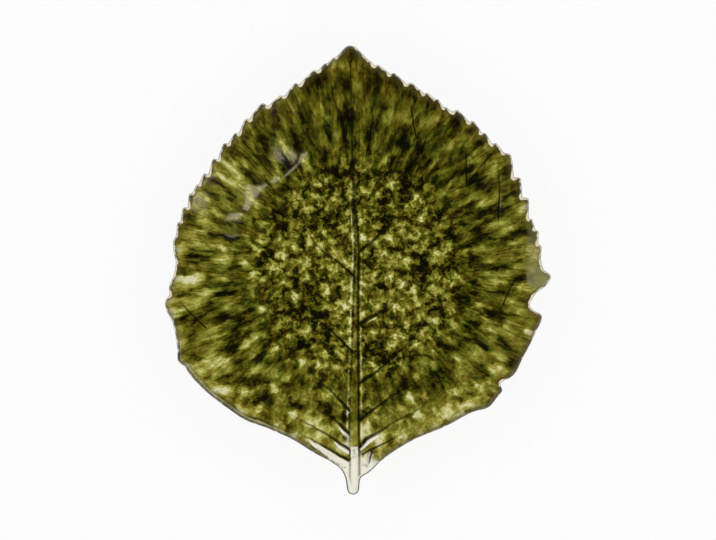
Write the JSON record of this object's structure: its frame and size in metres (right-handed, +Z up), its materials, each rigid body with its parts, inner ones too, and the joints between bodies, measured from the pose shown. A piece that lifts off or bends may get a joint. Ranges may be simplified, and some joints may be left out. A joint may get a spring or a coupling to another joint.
{
  "type": "leaf shaped plate",
  "caption": "Broad toothed leaf plate in glazed stoneware, a shallow dish with a midrib, side veins and a stem stub, standing on a round foot ring.",
  "frame": {"origin": "middle of the bounding box at the table, under the foot ring", "axes": "+Y from the stem to the leaf's tip, +X to the right seen from above, +Z up"},
  "size_m": [0.233, 0.271, 0.0296],
  "materials": {
    "stoneware": "matte",
    "bare_foot": "matte",
    "green_glaze": "gloss",
    "rim_glaze": "gloss",
    "back_glaze": "gloss"
  },
  "bodies": {
    "root": {"stoneware_body": "stoneware", "foot_ring": "bare_foot", "face_glaze": "green_glaze", "rim_glaze": "rim_glaze", "back_glaze": "back_glaze", "foot_well_glaze": "back_glaze"}
  },
  "joints": []
}
